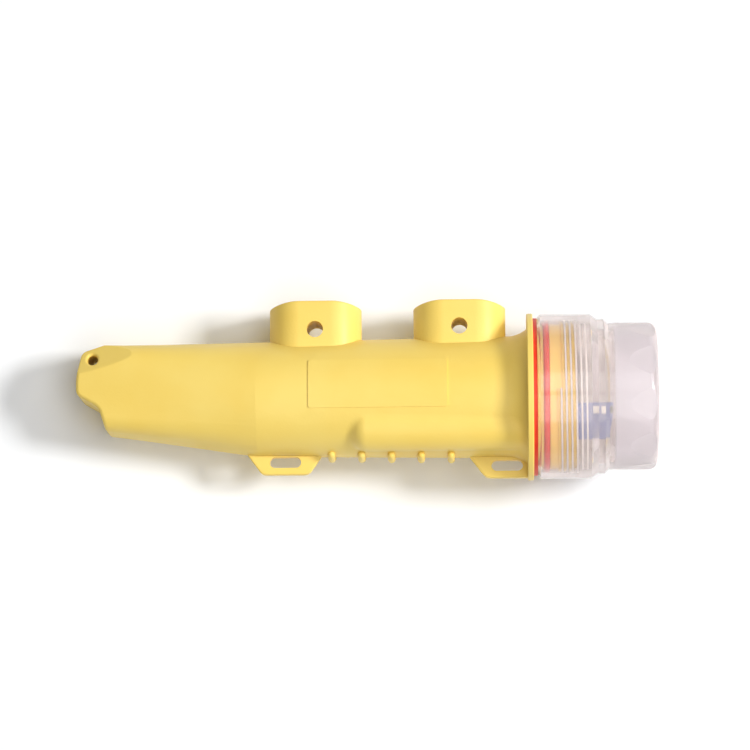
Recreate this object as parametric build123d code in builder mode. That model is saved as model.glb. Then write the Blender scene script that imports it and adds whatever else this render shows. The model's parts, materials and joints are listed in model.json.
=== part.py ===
from build123d import *

import os
from math import atan, cos, degrees, radians, sin, sqrt

# Fishing net beacon buoy: a hollow moulded hull that lies on its side, with a screw cap over its lamp.
# Lengths are in millimetres. While it is drawn, the buoy's axis is X with the lamp towards +X.
# The flange's lamp side is at X = 0, +Y points to the saddles and +Z to the side with the raised panel.

# Barrel: a drafted tube, turned with the flange and the neck in one profile
barrel_length = 142.0
barrel_radius_lamp = 31.4
barrel_radius_tail = 29.6
hull_wall = 2.5

# Flange at the lamp end, with a hollow sweep up from the barrel
flange_overhang = 5.8
flange_thickness = 3.1
flange_edge = 0.6
cove_length = 10.0
cove_rise = 3.8

# Neck that takes the screw cap, with a groove for the ring seal
neck_step = 5.8
neck_length = 22.0
neck_wall = 3.4
groove_start = 5.0
groove_width = 3.4
seal_bead = 3.1
seal_fit = 0.1

# Tail: round at the barrel, flat on both sides at its tip
tail_length = 92.6
tail_top_fall = 1.6
tail_bottom_rise = 14.2
tail_corner = 8.0
tail_solid_end = 40.0
round_share = 5.0
tip_round = 4.5
tip_edge = 1.8
crown_round = 34.0
beak_round = 30.0
notch_round = 8.0
heel_round = 5.0
crown_length = 17.4
crown_lean = 2.6
crown_drop = 4.2
beak_top = 25.4
beak_bottom = 16.8
notch_length = 11.6
notch_height = 10.1
heel_back = 15.4
outline_lift = 0.3
outline_flare = 8.0

# Tie eye through the tail's tip, in a corner that is faceted on both sides
eye_radius = 2.7
eye_back = 8.5
eye_rim = 1.2
eye_from_top = 8.7
facet_slope = 34.0
facet_turn = 20.0
facet_rise = 5.8

# Battery bays: two round swellings low on the barrel, with a cell in each
bay_radius = 13.4
bay_wall = 3.9
bay_drop = 15.3
bay_spread = 14.9
bay_length = 94.8
bay_end = 9.0
bay_blend = 6.0
cell_radius = 9.2
cell_length = 65.0

# Raised panel on the front of the barrel
panel_length = 71.2
panel_height = 25.2
panel_proud = 0.5
panel_corner = 1.2
panel_middle_x = -79.5
panel_middle_y = 5.0

# Saddle blocks that seat a marker pole, each with a hole for its strap
saddle_length = 47.5
saddle_depth = 31.5
saddle_height = 49.8
saddle_seat_radius = 37.5
saddle_middles = {"saddle_tail": -111.9, "saddle_lamp": -37.6}
strap_hole_radius = 4.2
strap_hole_floor = 0.4
saddle_edge = 0.8

# Lashing lugs under the barrel, each with a slot for a rope
lug_thickness = 6.0
lug_rim = 3.6
tail_lug_corner = 4.5
lamp_lug_corner = 5.5
slot_length = 16.2
slot_height = 5.5
tail_lug_middle = -127.9
tail_lug_top = 37.8
tail_lug_bottom = 24.0
tail_lug_web = 0.4
lamp_lug_middle = -13.7
lamp_lug_top = 19.3
lamp_lug_bottom = 11.0
lamp_lug_web = 1.4
lug_rise = 9.0
lug_edge = 0.7

# Lashing ribs: half-round bars with round ends, bent round the underside
rib_count = 5
rib_first = -103.9
rib_pitch = 15.35
rib_radius = 1.9
rib_proud = 2.8
rib_turn = 17.0

# Lamp deck in the neck's mouth, with the lamp board that stands on it
deck_thickness = 3.0
deck_fit = 0.2
board_length = 19.2
board_width = 19.0
board_thickness = 1.6
board_top = -3.2
board_corner = 7.0
emitter_length = 3.9
emitter_width = 3.6
emitter_height = 2.2
emitter_inset = 2.2
sensor_length = 1.9
sensor_height = 1.4
sensor_gap = 0.1

# Screw cap: clear skirt, frosted head with grip flutes, and the flat seal under its rim
thread_pitch = 2.6
thread_turns = 4.5
thread_room = 2.2
seal_thickness = 2.0
seal_width = 1.5
seal_swell = 0.3
skirt_wall = 3.1
skirt_length = 27.4
cap_rim_gap = 0.1
cap_rim_chamfer = 1.6
shoulder_length = 3.6
shoulder_step = 2.5
ledge_length = 3.4
head_slope = 2.1
head_step = 2.0
head_wall = 3.0
head_length = 25.2
head_corner = 5.0
nub_radius = 6.2
nub_height = 1.2
flute_count = 10
flute_radius = 60.0
flute_depth = 2.4
flute_lean = 8.0
flute_phase = 23.5

# Radii that build on one another, from the barrel outwards
neck_radius = barrel_radius_lamp + neck_step
flange_radius = neck_radius + flange_overhang
deck_radius = neck_radius - neck_wall - deck_fit
bead_radius = neck_radius + seal_fit / 2 + seal_bead / 2
seal_inner_radius = bead_radius + seal_swell
seal_radius = seal_inner_radius + seal_width
cap_bore = neck_radius + thread_room
cap_radius = cap_bore + skirt_wall
shoulder_radius = cap_radius - shoulder_step
head_radius = shoulder_radius - head_step
cap_travel = thread_pitch * thread_turns

# The tail's flats lie in the planes that touch the flange, so that the buoy lies flat on either side
flat_fall = (flange_radius - barrel_radius_tail) / (barrel_length - flange_thickness / 2)
lie_angle = degrees(atan(flat_fall))
cove_start = -flange_thickness - cove_length
barrel_draft = (barrel_radius_lamp - barrel_radius_tail) / (barrel_length + cove_start)
tip_x = -barrel_length - tail_length
tip_half = barrel_radius_tail - tail_length * flat_fall
tip_top = barrel_radius_tail - tail_top_fall
tip_bottom = -barrel_radius_tail + tail_bottom_rise


def barrel_radius_at(x):
    return barrel_radius_tail + barrel_draft * (x + barrel_length)


# Tail: a ruled shape from the barrel's circle to a rounded oblong at the tip
with BuildPart() as tail:
    with BuildSketch(Plane.YZ.offset(-barrel_length)):
        with BuildLine():
            for quarter in range(4):
                CenterArc((0, 0), barrel_radius_tail, 90 * quarter - round_share, 2 * round_share)
                CenterArc((0, 0), barrel_radius_tail, 90 * quarter + round_share, 90 - 2 * round_share)
        make_face()
    with BuildSketch(Plane.YZ.offset(tip_x)):
        with Locations(((tip_top + tip_bottom) / 2, 0)):
            RectangleRounded(tip_top - tip_bottom, 2 * tip_half, tail_corner)
    loft(ruled=True)
    # Side outline of the tip, with the notch under the tie eye
    crown_height = tip_top + crown_length / tail_length * tail_top_fall
    heel_height = tip_bottom - heel_back / tail_length * tail_bottom_rise
    with BuildSketch(Plane.XY):
        with BuildLine():
            FilletPolyline(
                (-barrel_length + 1, barrel_radius_tail + outline_flare),
                (tip_x + crown_length, crown_height + outline_lift),
                (tip_x + crown_lean, tip_top - crown_drop),
                (tip_x, tip_bottom + beak_top),
                (tip_x, tip_bottom + beak_bottom),
                (tip_x + notch_length, tip_bottom + notch_height),
                (tip_x + heel_back, heel_height - outline_lift),
                (-barrel_length + 1, -barrel_radius_tail - outline_flare),
                radius=(
                    tip_round,
                    crown_round,
                    tip_round,
                    beak_round,
                    tip_round,
                    notch_round,
                    heel_round,
                    tip_round,
                ),
                close=True,
            )
        make_face()
    extrude(amount=2 * barrel_radius_tail, both=True, mode=Mode.INTERSECT)
    tip_edges = tail.edges().filter_by(lambda edge: edge.center().X < tip_x + crown_length)
    fillet(tip_edges.filter_by(lambda edge: abs(edge.center().Z) > tip_edge), tip_edge)
    # Facets that thin the tip's upper corner around the tie eye, one on each side
    facet_z = tip_half + eye_back * flat_fall
    lean = radians(facet_slope)
    turn = radians(facet_turn)
    eye_height = tip_top - eye_from_top
    facet_height = eye_height - facet_rise
    for side in (1, -1):
        facet = Plane(
            origin=(tip_x + eye_back, facet_height, side * facet_z),
            x_dir=(cos(turn), sin(turn), 0),
            z_dir=(-sin(turn) * sin(lean), cos(turn) * sin(lean), side * cos(lean)),
        )
        split(bisect_by=facet, keep=Keep.BOTTOM)
    with Locations((tip_x + eye_back, eye_height, 0)):
        Hole(eye_radius)
    fillet(tail.edges().filter_by(GeomType.ELLIPSE), eye_rim)
tail.part.label = "tail"

# Battery bay: a round swelling with a domed end, drawn once and mirrored
with BuildPart() as bay:
    with BuildSketch(Plane.YZ.offset(-bay_length)):
        with Locations((-bay_drop, bay_spread)):
            Circle(bay_radius)
    extrude(amount=bay_length - flange_thickness / 2)
    fillet(bay.faces().sort_by(Axis.X)[0].edges(), bay_end)
    mirror(about=Plane.XY)
bay.part.label = "bay"

# Raised panel: a thicker piece of the barrel's cone, cut to a rounded oblong
with BuildPart() as panel:
    with BuildSketch(Plane.XY):
        with BuildLine():
            Polyline(
                (-barrel_length, 0),
                (-barrel_length, barrel_radius_tail + panel_proud),
                (cove_start, barrel_radius_lamp + panel_proud),
                (cove_start, 0),
                close=True,
            )
        make_face()
    revolve(axis=Axis.X)
    with BuildSketch(Plane.XY):
        with Locations((panel_middle_x, panel_middle_y)):
            RectangleRounded(panel_length, panel_height, panel_corner)
    extrude(amount=2 * barrel_radius_lamp, mode=Mode.INTERSECT)
panel.part.label = "panel"

# Outside of the hull: tail, barrel, cove, flange and neck, with the bays and the panel
with BuildPart() as hull_outside:
    with BuildSketch(Plane.XY):
        with BuildLine():
            Polyline(
                (-flange_thickness, barrel_radius_lamp + cove_rise),
                (-flange_thickness, flange_radius),
                (0, flange_radius),
                (0, neck_radius),
                (groove_start, neck_radius),
                (groove_start, neck_radius - seal_bead / 2),
                (groove_start + groove_width, neck_radius - seal_bead / 2),
                (groove_start + groove_width, neck_radius),
                (neck_length, neck_radius),
                (neck_length, 0),
                (-barrel_length, 0),
                (-barrel_length, barrel_radius_tail),
                (cove_start, barrel_radius_lamp),
            )
            TangentArc(
                (cove_start, barrel_radius_lamp),
                (-flange_thickness, barrel_radius_lamp + cove_rise),
                tangent=(1, barrel_draft),
            )
        make_face()
    revolve(axis=Axis.X)
    rim = hull_outside.edges().filter_by(GeomType.CIRCLE)
    fillet(rim.filter_by(lambda edge: abs(edge.radius - flange_radius) < 0.01), flange_edge)
    add(bay.part)
    creases = hull_outside.edges().filter_by(GeomType.BSPLINE)
    fillet(creases.filter_by(lambda edge: edge.length > bay_length / 2), bay_blend)
    add(tail.part)
    add(panel.part)
hull_outside.part.label = "hull_outside"

# Hull: the outside, hollowed from the neck's mouth to the tail's solid end
inner_share = (tail_length - tail_solid_end) / tail_length
inner_corner = barrel_radius_tail - inner_share * (barrel_radius_tail - tail_corner) - hull_wall
with BuildPart() as hull:
    add(hull_outside.part)
    # Inside of the barrel and neck, with a step that seats the lamp deck
    with BuildSketch(Plane.XY):
        with BuildLine():
            Polyline(
                (-barrel_length, 0),
                (-barrel_length, barrel_radius_tail - hull_wall),
                (0, barrel_radius_lamp - hull_wall),
                (neck_length - deck_thickness, barrel_radius_lamp - hull_wall),
                (neck_length - deck_thickness, deck_radius + deck_fit),
                (neck_length, deck_radius + deck_fit),
                (neck_length, 0),
                close=True,
            )
        make_face()
    revolve(axis=Axis.X, mode=Mode.SUBTRACT)
    # Inside of the tail
    with BuildSketch(Plane.YZ.offset(-barrel_length)):
        with BuildLine():
            for quarter in range(4):
                inner_radius = barrel_radius_tail - hull_wall
                CenterArc((0, 0), inner_radius, 90 * quarter - round_share, 2 * round_share)
                CenterArc((0, 0), inner_radius, 90 * quarter + round_share, 90 - 2 * round_share)
        make_face()
    with BuildSketch(Plane.YZ.offset(tip_x + tail_solid_end)):
        with Locations((inner_share * (tail_bottom_rise - tail_top_fall) / 2, 0)):
            RectangleRounded(
                2 * barrel_radius_tail - inner_share * (tail_bottom_rise + tail_top_fall) - 2 * hull_wall,
                2 * (barrel_radius_tail - inner_share * tail_length * flat_fall - hull_wall),
                inner_corner,
            )
    loft(ruled=True, mode=Mode.SUBTRACT)
    # Inside of the bays
    with BuildSketch(Plane.YZ.offset(-bay_length + bay_end)):
        with Locations((-bay_drop, bay_spread), (-bay_drop, -bay_spread)):
            Circle(bay_radius - bay_wall)
    extrude(amount=bay_length - bay_end - flange_thickness, mode=Mode.SUBTRACT)
hull.part.label = "hull"

# Battery cells, one lying in each bay against its end
with BuildPart() as battery_cells:
    with BuildSketch(Plane.YZ.offset(-bay_length + bay_end)):
        with Locations((-bay_drop, bay_spread), (-bay_drop, -bay_spread)):
            Circle(cell_radius)
    extrude(amount=cell_length)
battery_cells.part.label = "battery_cells"

# Saddle blocks, cut to sit on the barrel, with the pole's seat and the strap hole
saddle_sag = saddle_seat_radius - sqrt(saddle_seat_radius**2 - (saddle_depth / 2) ** 2)
saddles = []
for saddle_name, saddle_x in saddle_middles.items():
    with BuildPart() as saddle:
        with BuildSketch(Plane.XZ):
            with Locations((saddle_x, 0)):
                SlotOverall(saddle_length, saddle_depth)
        extrude(amount=-saddle_height)
        with BuildSketch(Plane.YZ.offset(saddle_x - saddle_length)):
            with Locations((saddle_height - saddle_sag + saddle_seat_radius, 0)):
                Circle(saddle_seat_radius)
        extrude(amount=2 * saddle_length, mode=Mode.SUBTRACT)
        fillet(saddle.edges().filter_by(lambda edge: edge.center().Y > saddle_height / 2), saddle_edge)
        add(hull_outside.part, mode=Mode.SUBTRACT)
        strap_height = barrel_radius_at(saddle_x) + strap_hole_floor + strap_hole_radius
        with Locations((saddle_x, strap_height, 0)):
            Hole(strap_hole_radius)
    saddle.part.label = saddle_name
    saddles.append(saddle.part)

# Lashing lugs: plates on the middle plane under the barrel, cut to sit on the hull, each with a slot
tail_lug_hull = barrel_radius_at(tail_lug_middle)
tail_slot_y = -tail_lug_hull - tail_lug_web - slot_height / 2
tail_lug_low = tail_slot_y - slot_height / 2 - lug_rim
lug_flare = (tail_lug_top - tail_lug_bottom) / 2 * lug_rise / (-tail_lug_hull - tail_lug_low)
with BuildPart() as lug_tail:
    with BuildSketch(Plane.XY):
        with BuildLine():
            side = FilletPolyline(
                (tail_lug_middle - tail_lug_top / 2 - lug_flare, -tail_lug_hull + lug_rise),
                (tail_lug_middle - tail_lug_bottom / 2, tail_lug_low),
                (tail_lug_middle + tail_lug_bottom / 2, tail_lug_low),
                (tail_lug_middle + tail_lug_top / 2 + lug_flare, -tail_lug_hull + lug_rise),
                radius=tail_lug_corner,
            )
            Line(side @ 1, side @ 0)
        make_face()
    extrude(amount=lug_thickness / 2, both=True)
    lug_rims = lug_tail.edges().filter_by(lambda edge: abs(edge.center().Z) > lug_thickness / 4)
    fillet(lug_rims.filter_by(lambda edge: edge.center().Y < -tail_lug_hull + lug_rise / 2), lug_edge)
    add(hull_outside.part, mode=Mode.SUBTRACT)
    with BuildSketch(Plane.XY):
        with Locations((tail_lug_middle, tail_slot_y)):
            SlotOverall(slot_length, slot_height)
    extrude(amount=lug_thickness, both=True, mode=Mode.SUBTRACT)
lug_tail.part.label = "lug_tail"

lamp_lug_hull = barrel_radius_lamp
lamp_slot_y = -lamp_lug_hull - lamp_lug_web - slot_height / 2
lamp_lug_low = lamp_slot_y - slot_height / 2 - lug_rim
with BuildPart() as lug_lamp:
    with BuildSketch(Plane.XY):
        with BuildLine():
            side = FilletPolyline(
                (lamp_lug_middle - lamp_lug_top - lug_flare, -lamp_lug_hull + lug_rise),
                (lamp_lug_middle - lamp_lug_bottom, lamp_lug_low),
                (-flange_thickness / 2, lamp_lug_low),
                radius=lamp_lug_corner,
            )
            Polyline(side @ 1, (-flange_thickness / 2, -lamp_lug_hull + lug_rise), side @ 0)
        make_face()
    extrude(amount=lug_thickness / 2, both=True)
    lug_rims = lug_lamp.edges().filter_by(lambda edge: abs(edge.center().Z) > lug_thickness / 4)
    lug_rims = lug_rims.filter_by(lambda edge: edge.center().X < -flange_thickness)
    fillet(lug_rims.filter_by(lambda edge: edge.center().Y < -lamp_lug_hull + lug_rise / 2), lug_edge)
    add(hull_outside.part, mode=Mode.SUBTRACT)
    with BuildSketch(Plane.XY):
        with Locations((lamp_lug_middle, lamp_slot_y)):
            SlotOverall(slot_length, slot_height)
    extrude(amount=lug_thickness, both=True, mode=Mode.SUBTRACT)
lug_lamp.part.label = "lug_lamp"

# Lashing ribs on the underside between the bays, cut to sit on the barrel
rib_cos = cos(radians(rib_turn))
rib_sin = sin(radians(rib_turn))
with BuildPart() as ribs:
    for rib in range(rib_count):
        rib_x = rib_first + rib * rib_pitch
        rib_ring = barrel_radius_at(rib_x) + rib_proud - rib_radius
        rib_start = Plane(origin=(0, 0, 0), x_dir=(1, 0, 0), z_dir=(0, rib_sin, rib_cos))
        with BuildSketch(rib_start):
            with Locations((rib_x, -rib_ring)):
                Circle(rib_radius)
        revolve(axis=Axis.X, revolution_arc=2 * rib_turn)
        with Locations(
            (rib_x, -rib_ring * rib_cos, rib_ring * rib_sin),
            (rib_x, -rib_ring * rib_cos, -rib_ring * rib_sin),
        ):
            Sphere(rib_radius)
    add(hull_outside.part, mode=Mode.SUBTRACT)
ribs.part.label = "ribs"

# Lamp deck in the neck's mouth
with BuildPart() as deck:
    with BuildSketch(Plane.YZ.offset(neck_length - deck_thickness)):
        Circle(deck_radius)
    extrude(amount=deck_thickness)
deck.part.label = "deck"

# Lamp board that stands on the deck in the middle plane, with one corner cut off
board_end = neck_length + board_length
with BuildPart() as lamp_board:
    with BuildSketch(Plane.XY):
        with BuildLine():
            Polyline(
                (neck_length, board_top),
                (board_end, board_top),
                (board_end, board_top - board_width + 2 * board_corner),
                (board_end - board_corner / 3, board_top - board_width),
                (neck_length, board_top - board_width),
                close=True,
            )
        make_face()
    extrude(amount=board_thickness / 2, both=True)
lamp_board.part.label = "lamp_board"

# Lamp emitters on both faces of the board, and the light sensor beside the front one
sensor_x = board_end - sensor_length / 2 - sensor_gap
emitter_x = sensor_x - sensor_length / 2 - sensor_gap - emitter_length / 2
emitter_y = board_top - emitter_inset - emitter_width / 2
with BuildPart() as emitters:
    for side in (1, -1):
        with BuildSketch(Plane.XY.offset(side * board_thickness / 2)):
            with Locations((emitter_x, emitter_y)):
                Rectangle(emitter_length, emitter_width)
        extrude(amount=side * emitter_height)
emitters.part.label = "emitters"

with BuildPart() as light_sensor:
    with BuildSketch(Plane.XY.offset(board_thickness / 2)):
        with Locations((sensor_x, emitter_y)):
            Rectangle(sensor_length, emitter_width)
    extrude(amount=sensor_height)
light_sensor.part.label = "light_sensor"

# Seals: a flat ring on the flange under the cap's rim, and a round ring in the neck's groove
with BuildPart() as flange_seal:
    with BuildSketch(Plane.YZ):
        Circle(seal_radius)
        Circle(seal_inner_radius, mode=Mode.SUBTRACT)
    extrude(amount=seal_thickness)
flange_seal.part.label = "flange_seal"

with BuildPart() as neck_seal:
    with BuildSketch(Plane.XY):
        with Locations((groove_start + groove_width / 2, neck_radius + seal_fit / 2)):
            Circle(seal_bead / 2)
    revolve(axis=Axis.X)
neck_seal.part.label = "neck_seal"

# Screw cap: one moulding turned about the axis, with flutes cut into the head's end
rim_x = seal_thickness + cap_rim_gap
skirt_x = rim_x + skirt_length
shoulder_x = skirt_x + shoulder_length
ledge_x = shoulder_x + ledge_length
head_x = ledge_x + head_slope
end_x = head_x + head_length
with BuildPart() as lens_cap:
    with BuildSketch(Plane.XY):
        with BuildLine():
            Polyline(
                (end_x - head_corner, head_radius),
                (head_x, head_radius),
                (ledge_x, shoulder_radius),
                (shoulder_x, shoulder_radius),
                (skirt_x, cap_radius),
                (rim_x + cap_rim_chamfer, cap_radius),
                (rim_x, cap_radius - cap_rim_chamfer),
                (rim_x, cap_bore),
                (skirt_x, cap_bore),
                (shoulder_x, head_radius - head_wall),
                (end_x - head_wall, head_radius - head_wall),
                (end_x - head_wall, 0),
                (end_x + nub_height, 0),
                (end_x + nub_height, nub_radius),
                (end_x, nub_radius),
                (end_x, head_radius - head_corner),
            )
            RadiusArc((end_x, head_radius - head_corner), (end_x - head_corner, head_radius), -head_corner)
        make_face()
    revolve(axis=Axis.X)
    lean_sin = sin(radians(flute_lean))
    lean_cos = cos(radians(flute_lean))
    for flute in range(flute_count):
        flute_angle = flute_phase + 360 / flute_count * flute
        radial_y = sin(radians(flute_angle))
        radial_z = cos(radians(flute_angle))
        flute_frame = Plane(
            origin=(end_x, 0, 0),
            x_dir=(lean_sin, lean_cos * radial_y, lean_cos * radial_z),
            z_dir=(lean_cos, -lean_sin * radial_y, -lean_sin * radial_z),
        )
        with BuildSketch(flute_frame):
            with Locations((head_radius - flute_depth + flute_radius, 0)):
                Circle(flute_radius)
        extrude(amount=30, both=True, mode=Mode.SUBTRACT)
lens_cap.part.label = "lens_cap"

# The buoy is laid on its back, with the floor at Z = 0 under the middle of its outline
pieces = [
    hull.part,
    *saddles,
    lug_tail.part,
    lug_lamp.part,
    ribs.part,
    battery_cells.part,
    deck.part,
    lamp_board.part,
    emitters.part,
    light_sensor.part,
    flange_seal.part,
    neck_seal.part,
    lens_cap.part,
]
lying = Location((0, 0, 0), (0, -lie_angle, 0))
outline = Compound([piece.moved(lying) for piece in pieces]).bounding_box()
placed = Location((-outline.center().X, -outline.center().Y, -outline.min.Z)) * lying

os.makedirs("parts", exist_ok=True)
for piece in pieces:
    laid = piece.moved(placed)
    laid.label = piece.label
    export_step(laid, f"parts/{piece.label}.step")
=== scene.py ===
# %% [markdown]
# # Fishing net beacon buoy
# A yellow moulded buoy lies on its back on a white table, with a see-through screw cap over its lamp.
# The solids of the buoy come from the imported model. This lesson gives them their finishes, adds the
# screw threads under the cap, and sets up light and camera as in the photograph.

# %% Load the frame
import bmesh
import bpy
import json
from math import cos, pi, radians, sin
from mathutils import Matrix, Vector


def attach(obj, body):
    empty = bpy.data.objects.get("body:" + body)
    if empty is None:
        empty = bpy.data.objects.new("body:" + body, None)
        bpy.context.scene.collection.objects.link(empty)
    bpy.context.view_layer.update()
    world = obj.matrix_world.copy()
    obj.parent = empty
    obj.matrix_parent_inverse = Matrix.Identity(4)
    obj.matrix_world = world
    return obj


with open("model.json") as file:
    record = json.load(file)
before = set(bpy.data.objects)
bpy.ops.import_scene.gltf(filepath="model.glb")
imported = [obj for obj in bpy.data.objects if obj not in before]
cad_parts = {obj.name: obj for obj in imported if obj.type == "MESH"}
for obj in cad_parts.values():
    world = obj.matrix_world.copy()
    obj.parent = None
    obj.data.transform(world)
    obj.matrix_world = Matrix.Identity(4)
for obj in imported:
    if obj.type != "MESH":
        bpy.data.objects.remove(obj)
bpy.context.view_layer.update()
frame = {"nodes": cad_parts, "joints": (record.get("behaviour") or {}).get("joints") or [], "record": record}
nodes = frame["nodes"]
print("nodes:", ", ".join(sorted(nodes)))

# %% [markdown]
# ## The buoy's own directions
# The buoy lies tilted, because its flange is thicker than its tail. Places along the screw axis are
# easier to think of than places in the room, so the axis is read from the cap's hinge, and two more
# directions are made from it. `along` points to the lamp, `aside` to the saddles and `front` to the
# side with the raised panel. The start of the axis is put at the flange, where the flat seal lies.

# %% Axis, directions and a way to measure a node
cap_turn = next(joint for joint in frame["joints"] if joint["name"] == "cap_turn")
along = Vector(cap_turn["axis"]).normalized()
aside = Vector((0, 1, 0))
front = along.cross(aside).normalized()
on_axis = Vector(cap_turn["pos_m"])


def reach(node):
    """Lowest and highest place along the axis, and smallest and largest distance from it."""
    offsets = [vertex.co - on_axis for vertex in nodes[node].data.vertices]
    places = [offset.dot(along) for offset in offsets]
    radii = [(offset - offset.dot(along) * along).length for offset in offsets]
    return min(places), max(places), min(radii), max(radii)


flange = on_axis + reach("flange_seal")[0] * along
lie_angle = along.angle(Vector((1, 0, 0)))


def spot(x, y, z):
    """A place in the room from one on the buoy: along the axis, towards the saddles, towards the panel."""
    return flange + x * along + y * aside + z * front


on_axis = flange.copy()
cap_start, cap_end = reach("lens_cap")[:2]
deck_top = reach("deck")[1]
ring_start, ring_end, _, ring_radius = reach("neck_seal")
print("cap from", round(cap_start * 1000, 1), "to", round(cap_end * 1000, 1), "mm along the axis")

# %% [markdown]
# ## Helpers for finishes
# Each finish is one Principled shader with a few texture nodes in front of it. The colours are read off
# the photograph as screen values, so a small helper turns them into the linear values that the shader
# works with.

# %% Colour and material helpers
def paint(red, green, blue):
    """Screen values from 0 to 255 as a linear colour."""
    values = [value / 255 for value in (red, green, blue)]
    return tuple(v / 12.92 if v <= 0.04045 else ((v + 0.055) / 1.055) ** 2.4 for v in values) + (1.0,)


def start_finish(name):
    """A new material with its Principled shader and a reader of places on the buoy."""
    material = bpy.data.materials.new(name)
    material.use_nodes = True
    tree = material.node_tree
    shader = tree.nodes["Principled BSDF"]
    places = tree.nodes.new("ShaderNodeTexCoord")
    buoy_places = tree.nodes.new("ShaderNodeMapping")
    buoy_places.vector_type = "TEXTURE"
    buoy_places.inputs["Location"].default_value = flange
    buoy_places.inputs["Rotation"].default_value = (0, -lie_angle, 0)
    tree.links.new(places.outputs["Object"], buoy_places.inputs["Vector"])
    return material, tree, shader, buoy_places.outputs["Vector"]


def noise(tree, vector, scale, detail=3.0, roughness=0.5):
    """A noise texture on the buoy's places; the scale is in waves to the metre."""
    node = tree.nodes.new("ShaderNodeTexNoise")
    node.inputs["Scale"].default_value = scale
    node.inputs["Detail"].default_value = detail
    node.inputs["Roughness"].default_value = roughness
    tree.links.new(vector, node.inputs["Vector"])
    return node.outputs["Fac"]


def spread(tree, value, low, high, to_low, to_high, smooth=False):
    """Stretches a value from one range to another."""
    node = tree.nodes.new("ShaderNodeMapRange")
    node.interpolation_type = "SMOOTHSTEP" if smooth else "LINEAR"
    for name, number in (("From Min", low), ("From Max", high), ("To Min", to_low), ("To Max", to_high)):
        node.inputs[name].default_value = number
    tree.links.new(value, node.inputs["Value"])
    return node.outputs["Result"]


def calculate(tree, operation, first, second):
    """One sum on two values, each a socket or a number."""
    node = tree.nodes.new("ShaderNodeMath")
    node.operation = operation
    for socket, value in zip(node.inputs, (first, second)):
        if isinstance(value, (int, float)):
            socket.default_value = value
        else:
            tree.links.new(value, socket)
    return node.outputs["Value"]


def blend_colours(tree, share, first, second):
    """A mix of two colours, each a socket or a colour, by a share from 0 to 1."""
    node = tree.nodes.new("ShaderNodeMix")
    node.data_type = "RGBA"
    # A Mix node takes its two colours at sockets 6 and 7 and gives the mixed colour at socket 2.
    for socket, value in ((node.inputs[6], first), (node.inputs[7], second)):
        if isinstance(value, tuple):
            socket.default_value = value
        else:
            tree.links.new(value, socket)
    tree.links.new(share, node.inputs["Factor"])
    return node.outputs[2]


def emboss(tree, shader, height, distance, strength):
    """Lets a height texture tilt the surface's normals."""
    node = tree.nodes.new("ShaderNodeBump")
    node.inputs["Distance"].default_value = distance
    node.inputs["Strength"].default_value = strength
    tree.links.new(height, node.inputs["Height"])
    tree.links.new(node.outputs["Normal"], shader.inputs["Normal"])


def give(material, *names):
    """Puts a finish on whole CAD nodes."""
    for name in names:
        nodes[name].data.materials.clear()
        nodes[name].data.materials.append(material)
    print(material.name, "on", ", ".join(names))


# %% [markdown]
# ## Yellow moulding
# The hull, saddles, lugs and ribs are one satin plastic. It has a faint orange-peel skin from the
# mould, slightly uneven colour, and a thin parting line where the two halves of the mould met, in the
# middle plane of the buoy. Bump nodes do for this, because the skin is far finer than anything that
# would pay as geometry.

# %% Yellow moulding finish
yellow, tree, shader, vector = start_finish("yellow_moulding")
axes = tree.nodes.new("ShaderNodeSeparateXYZ")
tree.links.new(vector, axes.inputs["Vector"])
clouds = noise(tree, vector, 22.0, 4.0)
cloud_share = spread(tree, clouds, 0.35, 0.65, 0.0, 1.0)
colour = blend_colours(tree, cloud_share, paint(247, 213, 104), paint(249, 219, 116))
tree.links.new(colour, shader.inputs["Base Color"])
skin = noise(tree, vector, 900.0, 2.0)
off_middle = calculate(tree, "ABSOLUTE", axes.outputs["Z"], 0.0)
seam_top = 0.00015
seam_foot = 0.00045
seam = spread(tree, off_middle, seam_top, seam_foot, 0.5, 0.0, smooth=True)
emboss(tree, shader, calculate(tree, "ADD", skin, seam), 0.0002, 0.28)
roughness = spread(tree, noise(tree, vector, 60.0), 0.3, 0.7, 0.40, 0.50)
tree.links.new(roughness, shader.inputs["Roughness"])
shader.inputs["IOR"].default_value = 1.45
shader.inputs["Specular IOR Level"].default_value = 0.4
give(yellow, "hull", "saddle_tail", "saddle_lamp", "lug_tail", "lug_lamp", "ribs")

# %% [markdown]
# ## Red seals
# A flat ring under the cap's rim and a round ring in the neck's groove are silicone rubber, matt and
# slightly dusty.

# %% Red rubber finish
red_rubber, tree, shader, vector = start_finish("red_rubber")
dust = spread(tree, noise(tree, vector, 160.0, 4.0), 0.45, 0.75, 0.0, 1.0)
red_colour = blend_colours(tree, dust, paint(228, 52, 24), paint(236, 74, 40))
tree.links.new(red_colour, shader.inputs["Base Color"])
emboss(tree, shader, noise(tree, vector, 1500.0), 0.0001, 0.25)
shader.inputs["Roughness"].default_value = 0.5
give(red_rubber, "flange_seal", "neck_seal")

# %% [markdown]
# ## See-through cap
# The cap is one clear moulding. Its skirt is polished, so the threads and the red ring show through it.
# Beyond the neck the plastic is a little milky, and in the head it is frosted too, so the lamp board
# shows softly and then not at all. One shader does it all: its tint, its roughness and the share of
# light that it lets through change along the axis. The wall is also longer to look through where it
# turns away from the eye, so a Layer Weight node makes the edges milkier and greyer. A thin coat keeps
# the outside glossy, also where the head is frosted, so the flutes catch the light. The cap's own thread
# gets a second, milkier finish, because its small ridges scatter the light.

# %% Clear plastic finishes
clear, tree, shader, vector = start_finish("clear_plastic")
axes = tree.nodes.new("ShaderNodeSeparateXYZ")
tree.links.new(vector, axes.inputs["Vector"])
half_change = 0.001
milk_start = deck_top + half_change
frost_start = cap_start + 0.0395


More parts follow.
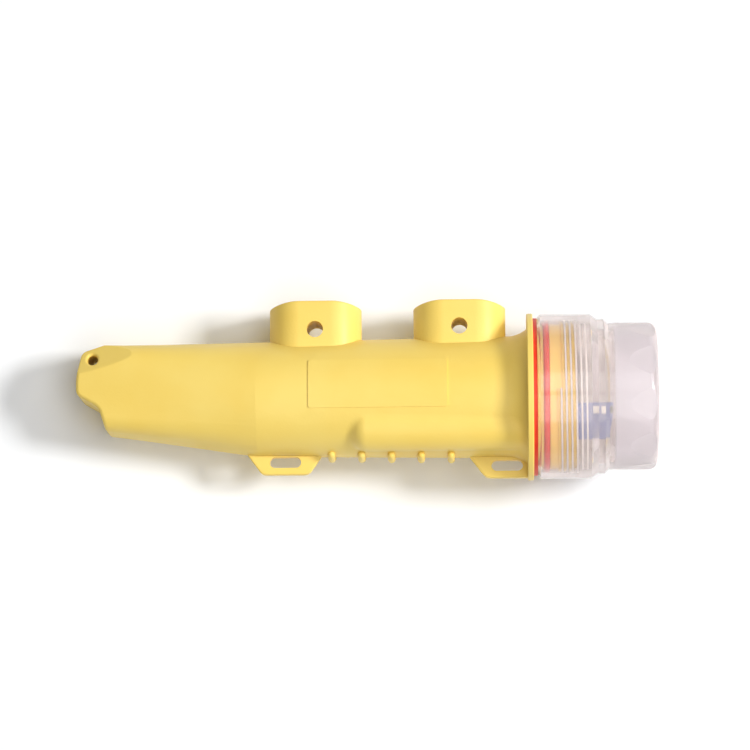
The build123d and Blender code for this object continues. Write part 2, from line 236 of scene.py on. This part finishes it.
def share_from(start):
    """0 before a place along the axis and 1 beyond it, with a short soft change."""
    place = axes.outputs["X"]
    return spread(tree, place, start - half_change, start + half_change, 0.0, 1.0, smooth=True)


milk_share = share_from(milk_start)
frost_share = share_from(frost_start)
facing = tree.nodes.new("ShaderNodeLayerWeight")
edge_share = spread(tree, facing.outputs["Facing"], 0.35, 0.95, 0.0, 1.0, smooth=True)
haze = blend_colours(tree, frost_share, paint(252, 244, 241), paint(246, 239, 241))
edge_tint = blend_colours(tree, edge_share, haze, paint(213, 194, 189))
tree.links.new(edge_tint, shader.inputs["Base Color"])
tree.links.new(spread(tree, frost_share, 0.0, 1.0, 0.12, 0.26), shader.inputs["Roughness"])
skirt_clear = spread(tree, milk_share, 0.0, 1.0, 0.93, 0.82)
wall_clear = calculate(tree, "SUBTRACT", skirt_clear, spread(tree, frost_share, 0.0, 1.0, 0.0, 0.18))
edge_clear = spread(tree, edge_share, 0.0, 1.0, 1.0, 0.35)
clear_share = calculate(tree, "MULTIPLY", wall_clear, edge_clear)
tree.links.new(clear_share, shader.inputs["Transmission Weight"])
shader.inputs["IOR"].default_value = 1.28
shader.inputs["Specular IOR Level"].default_value = 0.5
shader.inputs["Coat Weight"].default_value = 0.5
shader.inputs["Coat Roughness"].default_value = 0.14
shader.inputs["Coat IOR"].default_value = 1.45
give(clear, "lens_cap")

ridge_clear, tree, shader, vector = start_finish("ridge_plastic")
ridge_share = spread(tree, noise(tree, vector, 300.0), 0.3, 0.7, 0.0, 1.0)
ridge_colour = blend_colours(tree, ridge_share, paint(248, 240, 236), paint(254, 246, 242))
tree.links.new(ridge_colour, shader.inputs["Base Color"])
shader.inputs["Roughness"].default_value = 0.2
shader.inputs["Transmission Weight"].default_value = 0.2
shader.inputs["IOR"].default_value = 1.15
print(ridge_clear.name, "for the cap's thread")

# %% [markdown]
# ## Lamp board and deck
# Under the cap a pale deck closes the neck, and a blue circuit board stands on it with a white emitter
# on each face and a dark light sensor. The board's copper tracks show as a faint, paler pattern in its
# varnish.

# %% Finishes under the cap
deck_white, tree, shader, vector = start_finish("deck_white")
shade = spread(tree, noise(tree, vector, 90.0), 0.3, 0.7, 0.0, 1.0)
deck_colour = blend_colours(tree, shade, paint(226, 225, 222), paint(236, 235, 232))
tree.links.new(deck_colour, shader.inputs["Base Color"])
shader.inputs["Roughness"].default_value = 0.45
give(deck_white, "deck")

board_blue, tree, shader, vector = start_finish("board_blue")
tracks = tree.nodes.new("ShaderNodeTexBrick")
tracks.inputs["Scale"].default_value = 420.0
tracks.inputs["Mortar Size"].default_value = 0.03
tracks.inputs["Color1"].default_value = paint(56, 76, 150)
tracks.inputs["Color2"].default_value = paint(64, 86, 162)
tracks.inputs["Mortar"].default_value = paint(96, 116, 188)
tree.links.new(vector, tracks.inputs["Vector"])
tree.links.new(tracks.outputs["Color"], shader.inputs["Base Color"])
shader.inputs["Roughness"].default_value = 0.3
give(board_blue, "lamp_board")

emitter_white, tree, shader, vector = start_finish("emitter_white")
glow = spread(tree, noise(tree, vector, 500.0), 0.4, 0.6, 0.0, 1.0)
emitter_colour = blend_colours(tree, glow, paint(244, 244, 240), paint(250, 248, 236))
tree.links.new(emitter_colour, shader.inputs["Base Color"])
shader.inputs["Roughness"].default_value = 0.3
give(emitter_white, "emitters")

sensor_dark, tree, shader, vector = start_finish("sensor_dark")
grain = spread(tree, noise(tree, vector, 700.0), 0.3, 0.7, 0.0, 1.0)
sensor_colour = blend_colours(tree, grain, paint(30, 30, 38), paint(44, 44, 54))
tree.links.new(sensor_colour, shader.inputs["Base Color"])
shader.inputs["Roughness"].default_value = 0.4
give(sensor_dark, "light_sensor")

sleeve, tree, shader, vector = start_finish("cell_sleeve")
sleeve_share = spread(tree, noise(tree, vector, 40.0), 0.3, 0.7, 0.0, 1.0)
sleeve_colour = blend_colours(tree, sleeve_share, paint(60, 110, 150), paint(70, 124, 166))
tree.links.new(sleeve_colour, shader.inputs["Base Color"])
shader.inputs["Roughness"].default_value = 0.25
give(sleeve, "battery_cells")

# %% [markdown]
# ## Screw threads
# The cap screws onto the neck. Each thread is one ridge that climbs round the axis, and the two lie half
# a pitch apart, so they stay clear of each other while the cap turns and travels. A ridge is a small
# four-sided profile that `spin` carries round the axis; its `dvec` lifts it a little at each step, which
# makes the screw. The pitch comes from the joint: how far the cap travels in one turn. The neck's radius
# comes from the ring seal, which lies half in the neck's wall. All lengths are in metres.

# %% Thread ridges
coupling = frame["record"]["behaviour"]["couplings"][0]
pitch = coupling["ratio"] * 2 * pi
steps = 72
ring_lift = 0.00005  # the ring's middle lies this far outside the neck's wall
wall_gap = 0.0022  # from the neck's wall to the cap's bore
neck_radius = ring_radius - (ring_end - ring_start) / 2 - ring_lift
cap_bore = neck_radius + wall_gap


def screw_thread(name, start, turns, foot_radius, crest_radius, foot, crest):
    """A ridge that climbs round the axis; foot and crest are half its width at the wall and at its top."""
    mesh = bmesh.new()
    profile = (
        (start - foot, foot_radius), (start - crest, crest_radius),
        (start + crest, crest_radius), (start + foot, foot_radius),
    )
    corners = [mesh.verts.new(spot(x, 0, radius)) for x, radius in profile]
    face = mesh.faces.new(corners)
    bmesh.ops.spin(
        mesh, geom=[face, *face.edges, *face.verts], cent=flange, axis=along, dvec=along * pitch / steps,
        angle=2 * pi * turns, steps=int(steps * turns), use_duplicate=False,
    )
    bmesh.ops.recalc_face_normals(mesh, faces=mesh.faces)
    data = bpy.data.meshes.new(name)
    mesh.to_mesh(data)
    mesh.free()
    piece = bpy.data.objects.new(name, data)
    bpy.context.scene.collection.objects.link(piece)
    print(name, len(data.polygons), "faces")
    return piece


root = 0.0003  # how deep a ridge is set in its wall
ring_margin = 0.0045  # from the ring seal to the first turn
mouth_margin = 0.001  # from the last turn to the neck's mouth
neck_height = 0.0014
first_turn = ring_end + ring_margin
neck_turns = (deck_top - mouth_margin - first_turn) / pitch
neck_thread = screw_thread(
    "neck_thread", first_turn, neck_turns, neck_radius - root, neck_radius + neck_height,
    foot=pitch * 0.33, crest=pitch * 0.2,
)
neck_thread.data.materials.append(yellow)
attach(neck_thread, "hull")

cap_height = 0.0011
cap_thread_end = cap_start + 0.0265
cap_first = first_turn + pitch / 2
cap_turns = (cap_thread_end - cap_first) / pitch
cap_thread = screw_thread(
    "cap_thread", cap_first, cap_turns, cap_bore + root, cap_bore - cap_height,
    foot=pitch * 0.17, crest=pitch * 0.07,
)
cap_thread.data.materials.append(ridge_clear)
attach(cap_thread, "cap")

# %% [markdown]
# ## Table
# The buoy lies on a white table top that runs out of view on every side. It keeps the soft shadow.

# %% Table top
table_reach = 4.0
table_mesh = bmesh.new()
bmesh.ops.create_grid(table_mesh, x_segments=1, y_segments=1, size=table_reach)
table_data = bpy.data.meshes.new("table_top")
table_mesh.to_mesh(table_data)
table_mesh.free()
table = bpy.data.objects.new("table_top", table_data)
bpy.context.scene.collection.objects.link(table)
table_white = bpy.data.materials.new("table_white")
table_white.use_nodes = True
table_shader = table_white.node_tree.nodes["Principled BSDF"]
table_shader.inputs["Base Color"].default_value = (0.96, 0.97, 0.985, 1)
table_shader.inputs["Roughness"].default_value = 0.7
table_shader.inputs["Specular IOR Level"].default_value = 0.2
table.data.materials.append(table_white)
print("table top", [round(side, 2) for side in table.dimensions])

# %% [markdown]
# ## Light
# The main lamp is a soft box at the right, beyond the lamp end and about 45 degrees up, so the shadow
# falls to the left of the tail and the saddles are darker on their left. Two broad boxes overhead, one
# to each side of the axis, keep both halves of the barrel bright. The white surround is seen in full by
# the camera and through the cap, but adds only little light of its own.

# %% Lamps and surround
middle = Vector((0, 0, 0.03))


def soft_box(name, place, side, power):
    """A square lamp that looks at the middle of the buoy."""
    lamp = bpy.data.lights.new(name, "AREA")
    lamp.shape = "SQUARE"
    lamp.size = side
    lamp.energy = power
    holder = bpy.data.objects.new(name, lamp)
    holder.location = place
    holder.rotation_euler = (middle - Vector(place)).to_track_quat("-Z", "Y").to_euler()
    bpy.context.scene.collection.objects.link(holder)
    print(name, power, "W")


soft_box("saddle_box", place=(0.3, 0.45, 1.9), side=1.1, power=9.5)
soft_box("end_box", place=(2.0, 0.25, 2.05), side=0.65, power=61.0)
soft_box("lug_box", place=(0.2, -0.7, 1.8), side=1.3, power=12.0)

surround = bpy.data.worlds.new("white_surround")
surround.use_nodes = True
tree = surround.node_tree
light_side = tree.nodes["Background"]
light_side.inputs["Color"].default_value = (1, 1, 1, 1)
light_side.inputs["Strength"].default_value = 0.16
seen_side = tree.nodes.new("ShaderNodeBackground")
seen_side.inputs["Color"].default_value = (1, 1, 1, 1)
seen_side.inputs["Strength"].default_value = 1.0
rays = tree.nodes.new("ShaderNodeLightPath")
either = calculate(tree, "MAXIMUM", rays.outputs["Is Camera Ray"], rays.outputs["Is Transmission Ray"])
pick = tree.nodes.new("ShaderNodeMixShader")
tree.links.new(either, pick.inputs["Fac"])
tree.links.new(light_side.outputs["Background"], pick.inputs[1])
tree.links.new(seen_side.outputs["Background"], pick.inputs[2])
tree.links.new(pick.outputs["Shader"], tree.nodes["World Output"].inputs["Surface"])
bpy.context.scene.world = surround
bpy.context.scene.view_settings.view_transform = "Standard"

# %% [markdown]
# ## Camera
# The photograph looks almost straight down with a long lens. The camera leans a little to the lug side
# and to the lamp end. The axis rises very slightly to the right in the picture. One millimetre on the
# buoy is about two pixels of a picture 750 pixels wide, in which the axis meets the flange at
# `flange_pixel`.

# %% Camera
lug_lean = radians(6.6)
lamp_lean = radians(1.3)
roll = radians(0.6)
distance = 2.4
pixel = 0.000516
picture_side = 750
sensor_width = 36.0
flange_pixel = (533.0, 397.0)
towards = (front * cos(lug_lean) - aside * sin(lug_lean)) * cos(lamp_lean) + along * sin(lamp_lean)
right = (along - along.dot(towards) * towards).normalized()
up = towards.cross(right)
picture_right = right * cos(roll) - up * sin(roll)
picture_up = up * cos(roll) + right * sin(roll)
shift_right = (picture_side / 2 - flange_pixel[0]) * pixel
shift_up = (flange_pixel[1] - picture_side / 2) * pixel
aim = flange + picture_right * shift_right + picture_up * shift_up
camera_data = bpy.data.cameras.new("camera")
camera_data.sensor_width = sensor_width
camera_data.lens = sensor_width * distance / (picture_side * pixel)
camera = bpy.data.objects.new("camera", camera_data)
pose = Matrix((picture_right, picture_up, towards)).transposed().to_4x4()
pose.translation = aim + towards * distance
camera.matrix_world = pose
bpy.context.scene.collection.objects.link(camera)
bpy.context.scene.camera = camera
print("lens", round(camera_data.lens, 1), "mm")
